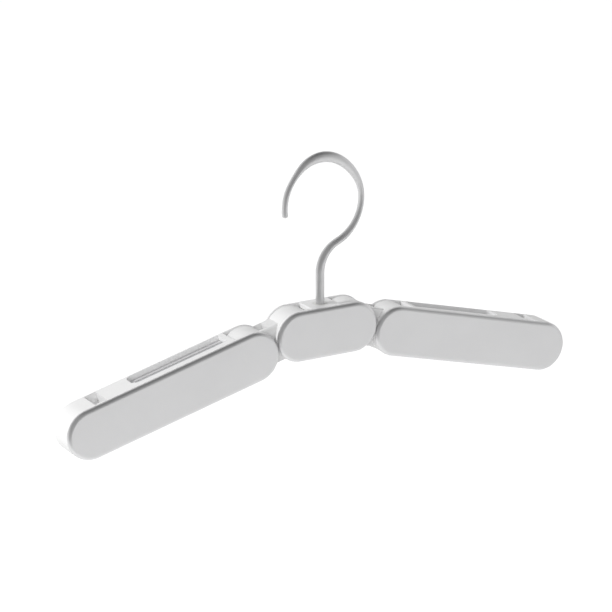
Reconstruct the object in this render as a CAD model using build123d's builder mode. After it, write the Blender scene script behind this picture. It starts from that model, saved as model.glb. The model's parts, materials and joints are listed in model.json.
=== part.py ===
from build123d import *
import os
from math import asin, cos, degrees, pi, radians, sin, sqrt

# Folding travel hanger: a centre block and two arms, each a slim stadium-ended case with a metal
# face plate in front. A link with a round knuckle at each end joins each arm to the centre block.
# The hook swivels in the centre block's web. +X right, +Y to the back, +Z up, in millimetres.
# The origin is the seat of the rail, inside the hook's crown, on the stem's axis.

os.makedirs("parts", exist_ok=True)

# Whole hanger
block_radius = 17.1
block_gap = 0.4
web_waist = 7.1
arm_length = 122.4
arm_droop = radians(14.45)
body_depth = 23.6
cut_overrun = 1.0

# Layers of the case, from the front to the back
plate_thickness = 2.6
plate_edge_radius = 2.4
plate_inset = 0.12
front_wall = 1.8
back_wall = 3.0
back_edge_radius = 2.4
side_wall = 1.8

plate_front = -body_depth / 2
plate_back = plate_front + plate_thickness
wall_back = plate_back + front_wall
case_back = body_depth / 2
shell_seam = case_back - back_wall

# Round knuckles of the links, and the sockets that they turn in
socket_rim = 0.05
rim_clearance = 0.35
knuckle_clearance = 0.3
knuckle_edge = 0.6
neck_step = 4.1
neck_recess = 2.4
neck_edge = 0.8
relief_front_rim = 2.9
relief_back_rim = 1.6
relief_depth = 5.0
core_floor = 4.6
core_wall = 2.1
core_rib_width = 1.6
hub_wall = 1.4
foot_clearance = 0.4
centre_tip_reach = 9.9
arm_tip_reach = 10.3
tip_edge_radius = 0.4

socket_radius = block_radius - socket_rim
knuckle_radius = socket_radius - rim_clearance
knuckle_front = wall_back + knuckle_clearance
knuckle_back = shell_seam - knuckle_clearance
neck_half_height = block_radius - neck_step
neck_front = knuckle_front + neck_recess
foot_reach = neck_half_height + foot_clearance
pivot_span = 2 * socket_radius + web_waist
link_length = 2 * block_radius + block_gap

# Pivot pins, bushes and friction washers
pin_radius = 2.5
pin_head_radius = 4.0
pin_head_depth = 0.9
pin_end_skin = 1.2
bush_clearance = 0.05
bush_radius = 4.0
bush_flange_radius = 5.5
bush_flange_depth = 1.0
bush_flange_play = 0.1
washer_radius = 6.0
washer_thickness = 1.1
washer_play = 0.1

# Screws that hold the back shells
screw_radius = 1.3
screw_clearance = 0.15
screw_head_radius = 2.6
screw_head_height = 1.5
screw_head_sink = 1.7
screw_grip = 9.0
screw_boss_radius = 3.2
cross_width = 0.7
cross_length = 3.2
cross_depth = 0.9
screw_foot_gap = 0.8
centre_upper_screw_height = 1.0
centre_lower_screw_setback = 4.7
inner_screw_place = 23.0
outer_screw_setback = 7.4
arm_screw_drop = 5.0
outer_screw_drop = 2.0

middle_screw_place = (inner_screw_place + arm_length - outer_screw_setback) / 2
centre_screw_heights = (centre_upper_screw_height, centre_lower_screw_setback - block_radius)
arm_screw_places = (
    (inner_screw_place, -arm_screw_drop),
    (middle_screw_place, -arm_screw_drop),
    (arm_length - outer_screw_setback, -outer_screw_drop),
)

# Slot along an arm's top, the strip in it, and the pocket near the arm's end
slot_land = 3.7
slot_inset = 3.1
slot_depth = 5.0
slot_end_flat = 3.9
trough_wall = 1.5
strip_clearance = 0.2
strip_thickness = 1.5
strip_rib_width = 1.0
strip_rib_height = 0.8
strip_rib_count = 2
pocket_setback = 8.1
pocket_width = 8.7
pocket_land = 21.4
pocket_depth = 7.0
pocket_skin = 0.6
stiffener_thickness = 1.4

pocket_end = arm_length - pocket_setback
pocket_start = pocket_end - pocket_width
slot_start = arm_tip_reach + slot_land
slot_end = pocket_start - pocket_land
slot_front = wall_back + slot_inset
slot_corner_radius = (shell_seam - slot_front - slot_end_flat) / 2
stiffener_places = (
    (inner_screw_place + middle_screw_place) / 2,
    (middle_screw_place + arm_length - outer_screw_setback) / 2,
)

# Pegs behind the face plates
peg_radius = 1.5
peg_clearance = 0.05
peg_length = 1.4
centre_peg_reach = 4.8
arm_peg_inset = 16.0
arm_peg_places = (arm_peg_inset, arm_length - arm_peg_inset)

# Seat of the hook in the centre block's web, and the bush in it
flange_radius = 5.0
flange_thickness = 1.2
flange_clearance = 0.05
barrel_radius = 3.3
barrel_length = 5.3
cavity_height = 3.6
cavity_half_width = 4.0

stem_pocket_floor = block_radius - flange_thickness
cavity_roof = stem_pocket_floor - barrel_length
cavity_floor = cavity_roof - cavity_height

# Hook: a rod bent into a stem, a side bend and a round loop that is a little narrower than high
stem_radius = 2.9
stem_length = 20.4
bend_radius = 21.2
loop_radius = 30.35
loop_offset = 2.25
loop_width_share = 0.94
crown_thickness = 7.2
tip_angle = 192.0
hook_tip_radius = 1.0
bend_steps = 6
loop_steps = 24
shank_radius = 2.1
shank_tail = 1.2
shank_chamfer = 0.5
groove_radius = 1.6
groove_width = 0.8
ring_radius = 3.5
ring_opening = 2.6
hook_washer_radius = 3.7
hook_washer_thickness = 0.8
swivel_clearance = 0.05
swivel_play = 0.1

stem_foot = block_radius + swivel_play
stem_top = stem_foot + stem_length
groove_bottom = cavity_roof - swivel_play - hook_washer_thickness - groove_width
shank_end = groove_bottom - shank_tail

# Thickness in the hook's plane and across it, as shares of the stem's, by the angle round the loop
loop_taper_shares = (
    (-54, 0.79, 0.94),
    (-32, 0.65, 0.88),
    (0, 0.64, 0.84),
    (45, 1.05, 0.94),
    (112, 1.05, 0.94),
    (140, 0.61, 0.84),
    (165, 0.61, 0.80),
)
bend_thickness_share = 0.80
crown_width_share = 0.98
tip_thickness_share = 0.64
tip_width_share = 0.76

# Radius of the loop's line, as a share of its radius at the crown, by the angle round the loop
loop_radius_shares = ((0, 1.024), (45, 0.978), (90, 1.0), (112, 0.997), (140, 0.969), (165, 0.988))
tip_radius_share = 1.011

# Heights above are from the centre block's pivots; the origin is at the seat in the hook's crown
bend_turn = asin((bend_radius - loop_offset) / (bend_radius + loop_radius))
loop_height = stem_top + (bend_radius + loop_radius) * cos(bend_turn)
seat_radius = loop_radius - crown_thickness / 2
seat_height = loop_height + sqrt(seat_radius**2 - loop_offset**2)
pivot_height = -seat_height
centre_pivot = (pivot_span / 2, pivot_height)
arm_pivot = (
    centre_pivot[0] + link_length * cos(arm_droop),
    centre_pivot[1] - link_length * sin(arm_droop),
)


def facing(depth, centre, droop=0.0):
    """Plane at a depth that looks to the front, its x along a piece that droops to the right."""
    return Plane(
        origin=(centre[0], depth, centre[1]),
        x_dir=(cos(droop), 0, -sin(droop)),
        z_dir=(0, -1, 0),
    )


def block_plane(depth):
    return facing(depth, (0, pivot_height))


def link_plane(depth):
    return facing(depth, centre_pivot, arm_droop)


def arm_plane(depth):
    return facing(depth, arm_pivot, arm_droop)


def arm_top_plane(height):
    """Plane across the right arm, at a height over its middle line, that looks to its top."""
    return Plane(
        origin=(arm_pivot[0] + height * sin(arm_droop), 0, arm_pivot[1] + height * cos(arm_droop)),
        x_dir=(cos(arm_droop), 0, -sin(arm_droop)),
        z_dir=(sin(arm_droop), 0, cos(arm_droop)),
    )


def level_plane(height):
    """Level plane at a height over the centre block's pivots."""
    return Plane.XY.offset(pivot_height + height)


def bounded(left, right, low, high, mode=Mode.ADD):
    """Rectangle between two values along each axis of the sketch."""
    with Locations(((left + right) / 2, (low + high) / 2)):
        Rectangle(right - left, high - low, mode=mode)


def stadium(length, radius):
    """Outline of a block between two pivots, the first at the sketch's origin."""
    with Locations((length / 2, 0)):
        SlotCenterToCenter(length, 2 * radius)


def layer(front, back, outline=None, mode=Mode.ADD):
    """Extrudes the outline, or the last sketch, from the layer's back plane to its front."""
    extrude(outline, amount=back - front, mode=mode)


# Centre block: front shell with the web between the two sockets
web_tip = pivot_span / 2 - centre_tip_reach
web_foot = pivot_span / 2 - foot_reach

with BuildPart() as centre_front_shell:
    with BuildSketch(block_plane(wall_back)):
        with Locations((-pivot_span / 2, 0)):
            stadium(pivot_span, block_radius)
    layer(plate_back, wall_back)
    with BuildSketch(block_plane(shell_seam)):
        Rectangle(2 * web_tip, 2 * block_radius)
        with Locations((-pivot_span / 2, 0), (pivot_span / 2, 0)):
            Circle(socket_radius, mode=Mode.SUBTRACT)
        for side in (-1, 1):
            near, far = sorted((side * web_foot, side * (web_tip + cut_overrun)))
            bounded(near, far, -block_radius - cut_overrun, -block_radius / 2, mode=Mode.SUBTRACT)
    layer(wall_back, shell_seam)
    tip_edges = centre_front_shell.edges().filter_by(Axis.Y).group_by(Axis.Z)[-1]
    fillet(tip_edges, radius=tip_edge_radius)
    # Seat and bore for the hook's bush, and the chamber for the ring, open to the back
    with BuildSketch(level_plane(stem_pocket_floor)):
        Circle(flange_radius + flange_clearance)
    extrude(amount=flange_thickness + cut_overrun, mode=Mode.SUBTRACT)
    with BuildSketch(level_plane(cavity_roof)):
        Circle(barrel_radius)
    extrude(amount=stem_pocket_floor - cavity_roof, mode=Mode.SUBTRACT)
    with BuildSketch(level_plane(cavity_floor)):
        bounded(-cavity_half_width, cavity_half_width, 0, shell_seam)
        Circle(cavity_half_width)
    extrude(amount=cavity_roof - cavity_floor, mode=Mode.SUBTRACT)
    # Pin holes with room for the heads, screw pilots and peg holes
    with BuildSketch(block_plane(wall_back)):
        with Locations((-pivot_span / 2, 0), (pivot_span / 2, 0)):
            Circle(pin_radius)
        with Locations((-centre_peg_reach, 0), (centre_peg_reach, 0)):
            Circle(peg_radius + peg_clearance)
    layer(plate_back, wall_back, mode=Mode.SUBTRACT)
    with BuildSketch(block_plane(plate_back + pin_head_depth)):
        with Locations((-pivot_span / 2, 0), (pivot_span / 2, 0)):
            Circle(pin_head_radius)
    layer(plate_back, plate_back + pin_head_depth, mode=Mode.SUBTRACT)
    with BuildSketch(block_plane(shell_seam)):
        with Locations(*[(0, height) for height in centre_screw_heights]):
            Circle(screw_radius)
    layer(shell_seam - screw_grip - screw_foot_gap, shell_seam, mode=Mode.SUBTRACT)

centre_front_shell.part.label = "centre_front_shell"
export_step(centre_front_shell.part, "parts/centre_front_shell.step")


# Centre block: back shell
with BuildPart() as centre_back_shell:
    with BuildSketch(block_plane(case_back)):
        with Locations((-pivot_span / 2, 0)):
            stadium(pivot_span, block_radius)
    layer(shell_seam, case_back)
    fillet(centre_back_shell.faces().sort_by(Axis.Y)[-1].edges(), radius=back_edge_radius)
    with BuildSketch(block_plane(case_back - pin_end_skin)):
        with Locations((-pivot_span / 2, 0), (pivot_span / 2, 0)):
            Circle(pin_radius)
    layer(shell_seam, case_back - pin_end_skin, mode=Mode.SUBTRACT)
    with BuildSketch(block_plane(case_back)):
        with Locations(*[(0, height) for height in centre_screw_heights]):
            Circle(screw_radius + screw_clearance)
    layer(shell_seam, case_back, mode=Mode.SUBTRACT)
    with BuildSketch(block_plane(case_back)):
        with Locations(*[(0, height) for height in centre_screw_heights]):
            Circle(screw_head_radius + screw_clearance)
    layer(case_back - screw_head_sink, case_back, mode=Mode.SUBTRACT)

centre_back_shell.part.label = "centre_back_shell"
export_step(centre_back_shell.part, "parts/centre_back_shell.step")


# Centre block: face plate with its rounded front edge and two pegs
with BuildPart() as centre_face_plate:
    with BuildSketch(block_plane(plate_back)):
        with Locations((-pivot_span / 2, 0)):
            stadium(pivot_span, block_radius - plate_inset)
    layer(plate_front, plate_back)
    fillet(centre_face_plate.faces().sort_by(Axis.Y)[0].edges(), radius=plate_edge_radius)
    with BuildSketch(block_plane(plate_back + peg_length)):
        with Locations((-centre_peg_reach, 0), (centre_peg_reach, 0)):
            Circle(peg_radius)
    layer(plate_back, plate_back + peg_length)

centre_face_plate.part.label = "centre_face_plate"
export_step(centre_face_plate.part, "parts/centre_face_plate.step")


def pivot_pin(plane_at, places):
    """Headed pins: the head lies in the front wall, and the end in the back shell."""
    with BuildSketch(plane_at(case_back - pin_end_skin)) as shanks:
        with Locations(*places):
            Circle(pin_radius)
    layer(plate_back, case_back - pin_end_skin, shanks.sketch)
    with BuildSketch(plane_at(plate_back + pin_head_depth)) as heads:
        with Locations(*places):
            Circle(pin_head_radius)
    layer(plate_back, plate_back + pin_head_depth, heads.sketch)


def back_screws(plane_at, places):
    """Pan-head screws with a cross recess, put in from the back."""
    head_back = case_back - screw_head_sink + screw_head_height
    tip = shell_seam - screw_grip
    with BuildSketch(plane_at(head_back)) as heads:
        with Locations(*places):
            Circle(screw_head_radius)
    layer(head_back - screw_head_height, head_back, heads.sketch)
    with BuildSketch(plane_at(head_back - screw_head_height)) as threads:
        with Locations(*places):
            Circle(screw_radius)
    layer(tip, head_back - screw_head_height, threads.sketch)
    with BuildSketch(plane_at(head_back)) as crosses:
        with Locations(*places):
            Rectangle(cross_length, cross_width)
            Rectangle(cross_width, cross_length)
    layer(head_back - cross_depth, head_back, crosses.sketch, mode=Mode.SUBTRACT)


with BuildPart() as centre_pivot_pins:
    pivot_pin(block_plane, [(-pivot_span / 2, 0), (pivot_span / 2, 0)])

centre_pivot_pins.part.label = "centre_pivot_pins"
export_step(centre_pivot_pins.part, "parts/centre_pivot_pins.step")


with BuildPart() as centre_screws:
    back_screws(block_plane, [(0, height) for height in centre_screw_heights])

centre_screws.part.label = "centre_screws"
export_step(centre_screws.part, "parts/centre_screws.step")


# Flanged bush that the hook's shank turns in
with BuildPart() as hook_bush:
    with BuildSketch(level_plane(cavity_roof)):
        Circle(barrel_radius)
    extrude(amount=barrel_length)
    with BuildSketch(level_plane(stem_pocket_floor)):
        Circle(flange_radius)
    extrude(amount=flange_thickness)
    with BuildSketch(level_plane(cavity_roof)):
        Circle(shank_radius + swivel_clearance)
    extrude(amount=barrel_length + flange_thickness, mode=Mode.SUBTRACT)

hook_bush.part.label = "hook_bush"
export_step(hook_bush.part, "parts/hook_bush.step")


# Hook: stem, side bend and loop as one rod whose oval section changes on the way
stem_diameter = 2 * stem_radius
bend_end = degrees(bend_turn) - 90
section_stations = [(angle, stem_diameter * a, stem_diameter * b) for angle, a, b in loop_taper_shares]
section_stations.append((bend_end, stem_diameter * bend_thickness_share, stem_diameter))
section_stations.append((90, crown_thickness, stem_diameter * crown_width_share))
section_stations.append((tip_angle, stem_diameter * tip_thickness_share, stem_diameter * tip_width_share))
section_stations.sort()
radius_stations = [(angle, loop_radius * share) for angle, share in loop_radius_shares]
radius_stations = [(bend_end, loop_radius), *radius_stations, (tip_angle, loop_radius * tip_radius_share)]


def station_slope(stations, index, value):
    """Rise per degree of a station's value, from the stations on both sides of it."""
    before = stations[max(index - 1, 0)]
    after = stations[min(index + 1, len(stations) - 1)]
    return (after[value] - before[value]) / (after[0] - before[0])


def at_angle(stations, angle, value=1):
    """Value at an angle round the loop, on a smooth cubic through the stations."""
    index = max(i for i, station in enumerate(stations[:-1]) if i == 0 or station[0] <= angle)
    first, second = stations[index : index + 2]
    run = second[0] - first[0]
    way = (angle - first[0]) / run
    rise = second[value] - first[value]
    near = station_slope(stations, index, value) * run - rise
    far = station_slope(stations, index + 1, value) * run - rise
    return first[value] + way * rise + way * (1 - way) * (near * (1 - way) - far * way)


# Places along the rod: sideways from the stem, height over the pivots, angle from upright, section
rod_stations = []
for step in range(bend_steps):
    way = step / bend_steps
    turn = way * (radians(90) - bend_turn)
    thickness = stem_diameter * (1 + (bend_thickness_share - 1) * (1 - cos(pi * way)) / 2)
    sideways = bend_radius * (1 - cos(turn))
    rod_stations.append((sideways, stem_top + bend_radius * sin(turn), -turn, thickness, stem_diameter))
for step in range(loop_steps + 1):
    angle = bend_end + (tip_angle - bend_end) * step / loop_steps
    turn = radians(angle)
    radius = at_angle(radius_stations, angle)
    sideways = loop_offset + radius * cos(turn)
    section = (at_angle(section_stations, angle), at_angle(section_stations, angle, 2))
    rod_stations.append((sideways, loop_height + radius * sin(turn), turn, *section))

with BuildPart() as hook:
    for sideways, height, turn, thickness, width in rod_stations:
        place = (loop_width_share * sideways, 0, pivot_height + height)
        along = (-loop_width_share * sin(turn), 0, cos(turn))
        with BuildSketch(Plane(origin=place, x_dir=(0, 1, 0), z_dir=along)):
            Ellipse(width / 2, thickness / 2)
    loft()
    fillet(hook.faces().filter_by(GeomType.PLANE).sort_by(Axis.X)[0].edges(), radius=hook_tip_radius)
    with BuildSketch(level_plane(stem_foot)):
        Circle(stem_radius)
    extrude(amount=stem_top - stem_foot)
    # Shank below the stem, with a groove for the ring
    with BuildSketch(level_plane(shank_end)):
        Circle(shank_radius)
    extrude(amount=stem_foot - shank_end)
    chamfer(hook.faces().sort_by(Axis.Z)[0].edges(), length=shank_chamfer)
    with BuildSketch(level_plane(groove_bottom)):
        Circle(shank_radius + cut_overrun)
        Circle(groove_radius, mode=Mode.SUBTRACT)
    extrude(amount=groove_width, mode=Mode.SUBTRACT)

hook.part.label = "hook"
export_step(hook.part, "parts/hook.step")


# Washer and open retaining ring under the web
with BuildPart() as hook_washer:
    with BuildSketch(level_plane(cavity_roof - swivel_play - hook_washer_thickness)):
        Circle(hook_washer_radius)
        Circle(shank_radius, mode=Mode.SUBTRACT)
    extrude(amount=hook_washer_thickness)

hook_washer.part.label = "hook_washer"
export_step(hook_washer.part, "parts/hook_washer.step")

with BuildPart() as hook_retaining_ring:
    with BuildSketch(level_plane(groove_bottom)):
        Circle(ring_radius)
        Circle(groove_radius, mode=Mode.SUBTRACT)
        bounded(-ring_opening / 2, ring_opening / 2, -ring_radius - cut_overrun, 0, mode=Mode.SUBTRACT)
    extrude(amount=groove_width)

hook_retaining_ring.part.label = "hook_retaining_ring"
export_step(hook_retaining_ring.part, "parts/hook_retaining_ring.step")


# Right link: two round knuckles on a flatter neck
knuckle_places = [(0, 0), (link_length, 0)]
link_axis = Axis((0, 0, 0), (cos(arm_droop), 0, -sin(arm_droop)))

with BuildPart() as knuckles:
    with BuildSketch(link_plane(knuckle_back)):
        with Locations(*knuckle_places):
            Circle(knuckle_radius)
    layer(knuckle_front, knuckle_back)
    chamfer(knuckles.edges().filter_by(GeomType.CIRCLE), length=knuckle_edge)

with BuildPart() as link_right:
    # Neck with chamfered long edges, and a relief in its top beside the arm's knuckle
    with BuildSketch(link_plane(knuckle_back)):
        bounded(0, link_length, -neck_half_height, neck_half_height)
    layer(neck_front, knuckle_back)
    chamfer(link_right.edges().filter_by(link_axis), length=neck_edge)
    with BuildSketch(link_plane(knuckle_back - relief_back_rim)):
        bounded((link_length + block_gap) / 2, link_length, neck_half_height - relief_depth, block_radius)
    layer(neck_front + relief_front_rim, knuckle_back - relief_back_rim, mode=Mode.SUBTRACT)
    add(knuckles.part)
    # Bores for the bushes, wider at the back for their flanges and in front for the washers
    with BuildSketch(link_plane(knuckle_back)):
        with Locations(*knuckle_places):
            Circle(bush_radius)
    layer(knuckle_front, knuckle_back, mode=Mode.SUBTRACT)
    with BuildSketch(link_plane(knuckle_back)):
        with Locations(*knuckle_places):
            Circle(bush_flange_radius)
    flange_seat = shell_seam - bush_flange_play - bush_flange_depth
    layer(flange_seat, knuckle_back, mode=Mode.SUBTRACT)
    washer_seat = wall_back + washer_play + washer_thickness
    with BuildSketch(link_plane(washer_seat)):
        with Locations(*knuckle_places):
            Circle(washer_radius)
    layer(knuckle_front, washer_seat, mode=Mode.SUBTRACT)
    # Cores in the hidden backs of the knuckles, with four ribs left between hub and rim
    with BuildSketch(link_plane(knuckle_back)):
        with Locations(*knuckle_places):
            Circle(knuckle_radius - core_wall)
        with Locations(*knuckle_places):
            Circle(washer_radius + hub_wall, mode=Mode.SUBTRACT)
            Rectangle(2 * knuckle_radius, core_rib_width, mode=Mode.SUBTRACT)
            Rectangle(core_rib_width, 2 * knuckle_radius, mode=Mode.SUBTRACT)
    layer(knuckle_front + core_floor, knuckle_back, mode=Mode.SUBTRACT)

link_right.part.label = "link_right"
export_step(link_right.part, "parts/link_right.step")


with BuildPart() as link_bushes_right:
    with BuildSketch(link_plane(flange_seat)):
        with Locations(*knuckle_places):
            Circle(bush_radius)
    layer(washer_seat, flange_seat)
    with BuildSketch(link_plane(flange_seat + bush_flange_depth)):
        with Locations(*knuckle_places):
            Circle(bush_flange_radius)
    layer(flange_seat, flange_seat + bush_flange_depth)
    with BuildSketch(link_plane(flange_seat + bush_flange_depth)):
        with Locations(*knuckle_places):
            Circle(pin_radius + bush_clearance)
    layer(washer_seat, flange_seat + bush_flange_depth, mode=Mode.SUBTRACT)

link_bushes_right.part.label = "link_bushes_right"
export_step(link_bushes_right.part, "parts/link_bushes_right.step")


with BuildPart() as friction_washers_right:
    with BuildSketch(link_plane(washer_seat)):
        with Locations(*knuckle_places):
            Circle(washer_radius)
        with Locations(*knuckle_places):
            Circle(pin_radius + bush_clearance, mode=Mode.SUBTRACT)
    layer(washer_seat - washer_thickness, washer_seat)

friction_washers_right.part.label = "friction_washers_right"
export_step(friction_washers_right.part, "parts/friction_washers_right.step")


# Right arm: front shell, hollow from the back, with the trough of the slot and the end pocket
slot_floor = block_radius - slot_depth
pocket_floor = block_radius - pocket_depth

with BuildPart() as arm_front_shell_right:
    with BuildSketch(arm_plane(wall_back)):
        stadium(arm_length, block_radius)
    layer(plate_back, wall_back)
    with BuildSketch(arm_plane(shell_seam)) as arm_case:
        stadium(arm_length, block_radius)
        bounded(
            -block_radius - cut_overrun,
            arm_tip_reach,
            -block_radius - cut_overrun,
            block_radius + cut_overrun,
            mode=Mode.SUBTRACT,
        )
        Circle(socket_radius, mode=Mode.SUBTRACT)
        bounded(0, foot_reach, -block_radius - cut_overrun, 0, mode=Mode.SUBTRACT)
    layer(wall_back, shell_seam)
    with BuildSketch(arm_plane(shell_seam)):
        add(arm_case.sketch_local)
        offset(amount=-side_wall, mode=Mode.REPLACE)
    layer(wall_back, shell_seam, mode=Mode.SUBTRACT)
    # Walls of the trough and of the pocket, two stiffeners and the screw bosses
    with BuildSketch(arm_plane(shell_seam)):
        bounded(
            arm_tip_reach + side_wall / 2,
            slot_end + trough_wall,
            slot_floor - trough_wall,
            block_radius - side_wall / 2,
        )
        Circle(socket_radius + side_wall / 2, mode=Mode.SUBTRACT)
    layer(slot_front - trough_wall, shell_seam)
    with BuildSketch(arm_plane(shell_seam)):
        bounded(
            pocket_start - trough_wall,
            pocket_end + trough_wall,
            pocket_floor - trough_wall,
            block_radius - side_wall,
        )
        for place in stiffener_places:
            bounded(
                place - stiffener_thickness / 2,
                place + stiffener_thickness / 2,
                -block_radius + side_wall / 2,
                slot_floor - trough_wall / 2,
            )
        with Locations(*arm_screw_places):
            Circle(screw_boss_radius)
    layer(wall_back, shell_seam)
    # Slot from the top, square at the inner end and round at the outer one
    with BuildSketch(arm_top_plane(slot_floor)) as slot_outline:
        bounded(slot_start, slot_end, slot_front, shell_seam)
        fillet(slot_outline.vertices().group_by(Axis.X)[-1], radius=slot_corner_radius)
    extrude(amount=slot_depth + cut_overrun, mode=Mode.SUBTRACT)
    with BuildSketch(arm_top_plane(pocket_floor)):
        bounded(pocket_start, pocket_end, plate_back + pocket_skin, shell_seam)
    extrude(amount=pocket_depth + cut_overrun, mode=Mode.SUBTRACT)
    # Pin hole with room for the head, screw pilots and peg holes
    with BuildSketch(arm_plane(wall_back)):
        Circle(pin_radius)
        with Locations(*[(place, 0) for place in arm_peg_places]):
            Circle(peg_radius + peg_clearance)
    layer(plate_back, wall_back, mode=Mode.SUBTRACT)
    with BuildSketch(arm_plane(plate_back + pin_head_depth)):
        Circle(pin_head_radius)
    layer(plate_back, plate_back + pin_head_depth, mode=Mode.SUBTRACT)
    with BuildSketch(arm_plane(shell_seam)):
        with Locations(*arm_screw_places):
            Circle(screw_radius)
    layer(shell_seam - screw_grip - screw_foot_gap, shell_seam, mode=Mode.SUBTRACT)

arm_front_shell_right.part.label = "arm_front_shell_right"
export_step(arm_front_shell_right.part, "parts/arm_front_shell_right.step")


with BuildPart() as arm_back_shell_right:
    with BuildSketch(arm_plane(case_back)):
        stadium(arm_length, block_radius)
    layer(shell_seam, case_back)
    fillet(arm_back_shell_right.faces().sort_by(Axis.Y)[-1].edges(), radius=back_edge_radius)
    with BuildSketch(arm_plane(case_back - pin_end_skin)):
        Circle(pin_radius)
    layer(shell_seam, case_back - pin_end_skin, mode=Mode.SUBTRACT)
    with BuildSketch(arm_plane(case_back)):
        with Locations(*arm_screw_places):
            Circle(screw_radius + screw_clearance)
    layer(shell_seam, case_back, mode=Mode.SUBTRACT)
    with BuildSketch(arm_plane(case_back)):
        with Locations(*arm_screw_places):
            Circle(screw_head_radius + screw_clearance)
    layer(case_back - screw_head_sink, case_back, mode=Mode.SUBTRACT)

arm_back_shell_right.part.label = "arm_back_shell_right"
export_step(arm_back_shell_right.part, "parts/arm_back_shell_right.step")


with BuildPart() as arm_face_plate_right:
    with BuildSketch(arm_plane(plate_back)):
        stadium(arm_length, block_radius - plate_inset)
    layer(plate_front, plate_back)
    fillet(arm_face_plate_right.faces().sort_by(Axis.Y)[0].edges(), radius=plate_edge_radius)
    with BuildSketch(arm_plane(plate_back + peg_length)):
        with Locations(*[(place, 0) for place in arm_peg_places]):
            Circle(peg_radius)
    layer(plate_back, plate_back + peg_length)

arm_face_plate_right.part.label = "arm_face_plate_right"
export_step(arm_face_plate_right.part, "parts/arm_face_plate_right.step")


# Soft ribbed strip on the slot's floor
strip_pitch = (shell_seam - slot_front) / (strip_rib_count + 1)

with BuildPart() as grip_strip_right:
    with BuildSketch(arm_top_plane(slot_floor)) as strip_outline:
        bounded(
            slot_start + strip_clearance,
            slot_end - strip_clearance,
            slot_front + strip_clearance,
            shell_seam - strip_clearance,
        )
        fillet(strip_outline.vertices().group_by(Axis.X)[-1], radius=slot_corner_radius - strip_clearance)
    extrude(amount=strip_thickness)
    with BuildSketch(arm_top_plane(slot_floor + strip_thickness)):
        for rib in range(strip_rib_count):
            middle = slot_front + (rib + 1) * strip_pitch
            bounded(
                slot_start + strip_clearance,
                slot_end - slot_corner_radius,
                middle - strip_rib_width / 2,
                middle + strip_rib_width / 2,
            )
    extrude(amount=strip_rib_height)

grip_strip_right.part.label = "grip_strip_right"
export_step(grip_strip_right.part, "parts/grip_strip_right.step")


with BuildPart() as arm_pivot_pin_right:
    pivot_pin(arm_plane, [(0, 0)])

arm_pivot_pin_right.part.label = "arm_pivot_pin_right"
export_step(arm_pivot_pin_right.part, "parts/arm_pivot_pin_right.step")


with BuildPart() as arm_screws_right:
    back_screws(arm_plane, list(arm_screw_places))

arm_screws_right.part.label = "arm_screws_right"
export_step(arm_screws_right.part, "parts/arm_screws_right.step")


# The left link and arm are the right ones mirrored in the plane through the stem
right_pieces = (
    link_right,
    link_bushes_right,
    friction_washers_right,
    arm_front_shell_right,
    arm_back_shell_right,
    arm_face_plate_right,
    grip_strip_right,
    arm_pivot_pin_right,
    arm_screws_right,
)

for piece in right_pieces:
    left_name = piece.part.label.replace("_right", "_left")
    with BuildPart() as left_piece:
        mirror(piece.part, about=Plane.YZ)
    left_piece.part.label = left_name
    export_step(left_piece.part, "parts/" + left_name + ".step")
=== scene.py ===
import json

import bpy
from mathutils import Matrix, Vector


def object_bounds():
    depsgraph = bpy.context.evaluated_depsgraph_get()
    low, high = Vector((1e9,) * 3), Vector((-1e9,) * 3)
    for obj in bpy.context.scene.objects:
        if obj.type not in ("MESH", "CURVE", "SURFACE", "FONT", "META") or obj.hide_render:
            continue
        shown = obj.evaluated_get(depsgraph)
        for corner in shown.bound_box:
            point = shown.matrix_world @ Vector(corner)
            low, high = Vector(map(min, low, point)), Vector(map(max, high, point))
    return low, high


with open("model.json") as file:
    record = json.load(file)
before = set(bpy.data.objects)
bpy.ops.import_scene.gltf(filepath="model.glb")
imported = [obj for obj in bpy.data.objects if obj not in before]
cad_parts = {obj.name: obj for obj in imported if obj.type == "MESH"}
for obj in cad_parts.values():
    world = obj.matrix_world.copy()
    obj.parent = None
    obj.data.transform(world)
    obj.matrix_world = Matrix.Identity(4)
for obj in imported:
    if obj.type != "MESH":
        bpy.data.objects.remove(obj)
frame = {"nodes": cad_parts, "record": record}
case_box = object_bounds()

# Lengths are in metres except for the camera's sensor and lens. Noise scales are in cells per metre
# and lamp powers in watts.

# Nearly all of a noise lies between these two values.
NOISE_LOW = 0.3
NOISE_HIGH = 0.7

# Places of a Mix node's sockets, for colours and for plain values
FIRST_COLOUR = 6
SECOND_COLOUR = 7
MIXED_COLOUR = 2
FIRST_VALUE = 2
SECOND_VALUE = 3
MIXED_VALUE = 0


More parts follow.
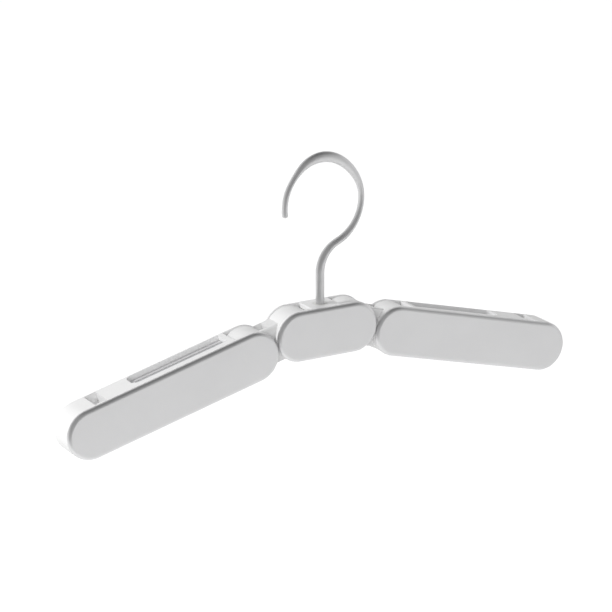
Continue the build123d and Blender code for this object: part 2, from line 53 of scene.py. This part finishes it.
class Finish:
    """A node material under construction: keeps its node tree and its shader at hand."""

    def __init__(self, name):
        self.material = bpy.data.materials.new(name)
        self.material.use_nodes = True
        self.nodes = self.material.node_tree.nodes
        self.links = self.material.node_tree.links
        self.shader = self.nodes["Principled BSDF"]
        self.place = self.nodes.new("ShaderNodeTexCoord")

    def noise(self, scale, detail, roughness=0.5, stretch=None):
        """Noise over the object's own coordinates, drawn out along an axis where stretch says so."""
        made = self.nodes.new("ShaderNodeTexNoise")
        made.inputs["Scale"].default_value = scale
        made.inputs["Detail"].default_value = detail
        made.inputs["Roughness"].default_value = roughness
        place = self.place.outputs["Object"]
        if stretch:
            drawn_out = self.nodes.new("ShaderNodeMapping")
            drawn_out.inputs["Scale"].default_value = stretch
            self.links.new(place, drawn_out.inputs["Vector"])
            place = drawn_out.outputs["Vector"]
        self.links.new(place, made.inputs["Vector"])
        return made.outputs["Fac"]

    def spread(self, value, start, end, low=NOISE_LOW, high=NOISE_HIGH):
        """Carries a value between low and high to one between start and end, held at both ends."""
        made = self.nodes.new("ShaderNodeMapRange")
        self.links.new(value, made.inputs["Value"])
        made.inputs["From Min"].default_value = low
        made.inputs["From Max"].default_value = high
        made.inputs["To Min"].default_value = start
        made.inputs["To Max"].default_value = end
        return made.outputs["Result"]

    def tint(self, amount, tone, darkest_share):
        """Base colour: the full tone where the amount is 1, and that share of it where it is 0."""
        made = self.nodes.new("ShaderNodeMix")
        made.data_type = "RGBA"
        self.links.new(amount, made.inputs["Factor"])
        made.inputs[FIRST_COLOUR].default_value = (*(channel * darkest_share for channel in tone), 1)
        made.inputs[SECOND_COLOUR].default_value = (*tone, 1)
        self.links.new(made.outputs[MIXED_COLOUR], self.shader.inputs["Base Color"])

    def roughen(self, noise, smoothest, roughest):
        """Roughness between two values, by a noise."""
        self.links.new(self.spread(noise, smoothest, roughest), self.shader.inputs["Roughness"])

    def bump(self, height, depth, strength):
        """Fine relief from a noise, up to a depth."""
        made = self.nodes.new("ShaderNodeBump")
        made.inputs["Distance"].default_value = depth
        made.inputs["Strength"].default_value = strength
        self.links.new(height, made.inputs["Height"])
        self.links.new(made.outputs["Normal"], self.shader.inputs["Normal"])


PLASTIC_IOR = 1.49
MOULD_GRAIN = 2600.0
MOULD_GRAIN_DEPTH = 0.00001
MOULDING_CLOUDS = 45.0
MOULDING_DARKEST_SHARE = 0.975
SMOOTHER_SPOTS = 0.04
ROUGHER_SPOTS = 0.05


def white_moulding(name, tone, roughness):
    """Moulded plastic: an even white with a faint cloudiness and the fine grain of the mould."""
    finish = Finish(name)
    clouds = finish.noise(MOULDING_CLOUDS, detail=2.0)
    finish.tint(finish.spread(clouds, 0.0, 1.0), tone, MOULDING_DARKEST_SHARE)
    grain = finish.noise(MOULD_GRAIN, detail=3.0, roughness=0.6)
    finish.roughen(grain, roughness - SMOOTHER_SPOTS, roughness + ROUGHER_SPOTS)
    finish.shader.inputs["IOR"].default_value = PLASTIC_IOR
    finish.bump(grain, MOULD_GRAIN_DEPTH, strength=0.35)
    return finish.material


PLATE_DIMPLES = 3200.0
PLATE_DIMPLE_DEPTH = 0.00003
PLATE_CLOUDS = 28.0
PLATE_CLOUDS_LOW = 0.25
PLATE_CLOUDS_HIGH = 0.75
PLATE_DARKEST_SHARE = 0.965


def blasted_metal(name, tone):
    """Bead-blasted anodised sheet: fine dimples and a faint cloudiness."""
    finish = Finish(name)
    finish.shader.inputs["Metallic"].default_value = 1.0
    dimples = finish.noise(PLATE_DIMPLES, detail=2.0, roughness=0.55)
    clouds = finish.noise(PLATE_CLOUDS, detail=3.0)
    shade = finish.spread(clouds, 0.0, 1.0, PLATE_CLOUDS_LOW, PLATE_CLOUDS_HIGH)
    finish.tint(shade, tone, PLATE_DARKEST_SHARE)
    finish.roughen(dimples, smoothest=0.42, roughest=0.50)
    finish.bump(dimples, PLATE_DIMPLE_DEPTH, strength=0.3)
    return finish.material


ROD_LINES = 900.0
ROD_LINES_STRETCH = (1.0, 1.0, 0.12)
ROD_LINE_DEPTH = 0.00001
ROD_CLOUDS = 60.0
ROD_DARKEST_SHARE = 0.95


def satin_rod(name, tone):
    """Satin plated rod: upright polishing lines so fine that they only soften the highlight."""
    finish = Finish(name)
    finish.shader.inputs["Metallic"].default_value = 1.0
    lines = finish.noise(ROD_LINES, detail=3.0, stretch=ROD_LINES_STRETCH)
    clouds = finish.noise(ROD_CLOUDS, detail=2.0)
    finish.tint(finish.spread(clouds, 0.0, 1.0), tone, ROD_DARKEST_SHARE)
    finish.roughen(lines, smoothest=0.40, roughest=0.50)
    finish.bump(lines, ROD_LINE_DEPTH, strength=0.3)
    return finish.material


TURNING_MARKS = 1500.0
TURNED_DARKEST_SHARE = 0.9


def turned_steel(name, tone):
    """Plain steel of pins and screws."""
    finish = Finish(name)
    finish.shader.inputs["Metallic"].default_value = 1.0
    marks = finish.noise(TURNING_MARKS, detail=2.0)
    finish.tint(marks, tone, TURNED_DARKEST_SHARE)
    finish.roughen(marks, smoothest=0.28, roughest=0.42)
    return finish.material


RUBBER_GRAIN = 1800.0
RUBBER_GRAIN_DEPTH = 0.00003
RUBBER_DARKEST_SHARE = 0.94


def soft_strip(name, tone):
    """Soft moulded rubber with a dull fine grain."""
    finish = Finish(name)
    grain = finish.noise(RUBBER_GRAIN, detail=4.0, roughness=0.65)
    finish.tint(grain, tone, RUBBER_DARKEST_SHARE)
    finish.roughen(grain, smoothest=0.62, roughest=0.78)
    finish.bump(grain, RUBBER_GRAIN_DEPTH, strength=0.4)
    return finish.material


finishes = {
    "white_shell": white_moulding("white_case_moulding", (0.90, 0.90, 0.90), roughness=0.34),
    "white_link": white_moulding("white_link_moulding", (0.88, 0.88, 0.88), roughness=0.38),
    "face_metal": blasted_metal("blasted_face_plate", (0.81, 0.81, 0.815)),
    "hook_metal": satin_rod("satin_hook", (0.75, 0.75, 0.755)),
    "steel": turned_steel("pin_and_screw_steel", (0.55, 0.55, 0.55)),
    "bush_plastic": white_moulding("bush_plastic", (0.80, 0.80, 0.78), roughness=0.5),
    "washer_plastic": white_moulding("washer_plastic", (0.70, 0.70, 0.69), roughness=0.55),
    "strip_rubber": soft_strip("slot_strip_rubber", (0.70, 0.70, 0.71)),
}

slots = {piece["node"]: piece["material_slot"] for piece in frame["record"]["subparts"]}
for name, node in frame["nodes"].items():
    node.data.materials.clear()
    node.data.materials.append(finishes[slots[name]])


def pale_ground(name, tone, seen_light, mirrored_light):
    """White matt surface that looks lighter than the lamps make it, to a camera and in a reflection."""
    material = bpy.data.materials.new(name)
    material.use_nodes = True
    nodes, links = material.node_tree.nodes, material.node_tree.links
    nodes.clear()
    out = nodes.new("ShaderNodeOutputMaterial")
    matt = nodes.new("ShaderNodeBsdfDiffuse")
    matt.inputs["Color"].default_value = (tone, tone, tone, 1)
    glow = nodes.new("ShaderNodeEmission")
    path = nodes.new("ShaderNodeLightPath")
    seen = nodes.new("ShaderNodeMath")
    seen.operation = "MULTIPLY"
    seen.inputs[1].default_value = seen_light
    links.new(path.outputs["Is Camera Ray"], seen.inputs[0])
    strength = nodes.new("ShaderNodeMath")
    strength.operation = "MULTIPLY_ADD"
    strength.inputs[1].default_value = mirrored_light
    links.new(path.outputs["Is Glossy Ray"], strength.inputs[0])
    links.new(seen.outputs[0], strength.inputs[2])
    links.new(strength.outputs[0], glow.inputs["Strength"])
    both = nodes.new("ShaderNodeAddShader")
    links.new(matt.outputs[0], both.inputs[0])
    links.new(glow.outputs[0], both.inputs[1])
    links.new(both.outputs[0], out.inputs["Surface"])
    return material


# Floor well under the hanging object, out of the way of its folded arms. It ends a little way out
# on the object's left and front, and reaches far on the other sides.
FLOOR_OPEN_WAY = Vector((-0.87, -0.49, 0.0)).normalized()
FLOOR_OPEN_EDGE = 0.35
FLOOR_REACH = 12.0
FLOOR_DROP = 0.16
FLOOR_TONE = 0.86
FLOOR_SEEN_LIGHT = 0.62
FLOOR_MIRRORED_LIGHT = 0.36


def pale_floor():
    """Flat rectangle, its corners given along the open way and aside of it."""
    aside_way = FLOOR_OPEN_WAY.cross(Vector((0.0, 0.0, 1.0)))
    down = Vector((0.0, 0.0, case_box[0][2] - FLOOR_DROP))
    corners = [
        FLOOR_OPEN_WAY * along + aside_way * aside + down
        for along, aside in (
            (FLOOR_OPEN_EDGE, -FLOOR_REACH),
            (FLOOR_OPEN_EDGE, FLOOR_REACH),
            (-FLOOR_REACH, FLOOR_REACH),
            (-FLOOR_REACH, -FLOOR_REACH),
        )
    ]
    mesh = bpy.data.meshes.new("floor")
    mesh.from_pydata(corners, [], [(0, 1, 2, 3)])
    mesh.materials.append(pale_ground("pale_floor", FLOOR_TONE, FLOOR_SEEN_LIGHT, FLOOR_MIRRORED_LIGHT))
    floor = bpy.data.objects.new("floor", mesh)
    bpy.context.scene.collection.objects.link(floor)


pale_floor()

# The studio is white where the camera looks. On the object it is bright from the back, the right and
# below, and darker from the front, the left and above, which gives the metal its soft dark edges.
# A part overhead, a little to the right, is darker still and shades the top of the hook's crown.
DARK_SIDE_WAY = Vector((-0.44, -0.60, 0.66)).normalized()
DARK_SIDE_START = 0.0
DARK_SIDE_END = 0.45
BRIGHT_LEVEL = 0.96
DARK_LEVEL = 0.36
OVERHEAD_WAY = Vector((0.40, -0.05, 0.91)).normalized()
OVERHEAD_START = 0.60
OVERHEAD_END = 0.95
OVERHEAD_SHARE = 0.33
WHITE_LEVEL = 1.0


def studio_world():
    """World whose light falls off toward the dark side, and further toward the part overhead."""
    world = bpy.data.worlds.new("studio")
    bpy.context.scene.world = world
    world.use_nodes = True
    world.cycles.sampling_method = "NONE"
    nodes, links = world.node_tree.nodes, world.node_tree.links
    sky = nodes["Background"]
    sky.inputs["Color"].default_value = (1, 1, 1, 1)
    path = nodes.new("ShaderNodeLightPath")
    direction = nodes.new("ShaderNodeTexCoord")

    def falling(way, start, end, bright, dark):
        """Falls smoothly from bright to dark while the cosine to the way goes from start to end."""
        leaning = nodes.new("ShaderNodeVectorMath")
        leaning.operation = "DOT_PRODUCT"
        leaning.inputs[1].default_value = way
        links.new(direction.outputs["Generated"], leaning.inputs[0])
        ramp = nodes.new("ShaderNodeMapRange")
        ramp.interpolation_type = "SMOOTHSTEP"
        ramp.inputs["From Min"].default_value = start
        ramp.inputs["From Max"].default_value = end
        ramp.inputs["To Min"].default_value = bright
        ramp.inputs["To Max"].default_value = dark
        links.new(leaning.outputs["Value"], ramp.inputs["Value"])
        return ramp.outputs["Result"]

    side = falling(DARK_SIDE_WAY, DARK_SIDE_START, DARK_SIDE_END, BRIGHT_LEVEL, DARK_LEVEL)
    overhead = falling(OVERHEAD_WAY, OVERHEAD_START, OVERHEAD_END, bright=1.0, dark=OVERHEAD_SHARE)
    studio = nodes.new("ShaderNodeMath")
    studio.operation = "MULTIPLY"
    links.new(side, studio.inputs[0])
    links.new(overhead, studio.inputs[1])
    level = studio.outputs[0]
    for kind_of_ray in ("Is Transmission Ray", "Is Camera Ray"):
        white_for_ray = nodes.new("ShaderNodeMix")
        links.new(path.outputs[kind_of_ray], white_for_ray.inputs["Factor"])
        links.new(level, white_for_ray.inputs[FIRST_VALUE])
        white_for_ray.inputs[SECOND_VALUE].default_value = WHITE_LEVEL
        level = white_for_ray.outputs[MIXED_VALUE]
    links.new(level, sky.inputs["Strength"])


studio_world()

LIT_POINT = Vector((0.0, 0.0, -0.11))
KEY_PLACE = Vector((-1.41, 0.42, 0.74))
KEY_SIZE = 0.35
KEY_POWER = 14.0
FILL_PLACE = Vector((-0.86, -1.27, 0.29))
FILL_SIZE = 0.9
FILL_POWER = 8.0


def panel_lamp(name, place, size, power):
    """Square soft lamp at a place, turned to the lit point."""
    lamp = bpy.data.lights.new(name, "AREA")
    lamp.shape = "SQUARE"
    lamp.size = size
    lamp.energy = power
    holder = bpy.data.objects.new(name, lamp)
    holder.location = place
    holder.rotation_euler = (LIT_POINT - place).to_track_quat("-Z", "Y").to_euler()
    holder.visible_glossy = False
    bpy.context.scene.collection.objects.link(holder)


panel_lamp("left_back_panel", KEY_PLACE, KEY_SIZE, KEY_POWER)
panel_lamp("front_left_fill", FILL_PLACE, FILL_SIZE, FILL_POWER)

# Camera, fitted to the photograph: its place, its directions and its lens
CAMERA_PLACE = Vector((-0.89337, -1.50028, 0.460044))
CAMERA_RIGHT = Vector((0.86187, -0.50713, 0.0))
CAMERA_UP = Vector((0.15414, 0.26196, 0.95269))
CAMERA_BACK = CAMERA_RIGHT.cross(CAMERA_UP)
FOCAL_PIXELS = 2793.49
PICTURE_PIXELS = 612
SENSOR_MM = 36.0
NEAR_CLIP = 0.05
FAR_CLIP = 60.0

camera_data = bpy.data.cameras.new("camera")
camera_data.sensor_width = SENSOR_MM
camera_data.sensor_fit = "HORIZONTAL"
camera_data.lens = FOCAL_PIXELS / PICTURE_PIXELS * SENSOR_MM
camera_data.clip_start = NEAR_CLIP
camera_data.clip_end = FAR_CLIP
camera = bpy.data.objects.new("camera", camera_data)
turn = Matrix((CAMERA_RIGHT, CAMERA_UP, CAMERA_BACK)).transposed().to_4x4()
camera.matrix_world = Matrix.Translation(CAMERA_PLACE) @ turn
bpy.context.scene.collection.objects.link(camera)
bpy.context.scene.camera = camera
bpy.context.scene.view_settings.view_transform = "Standard"
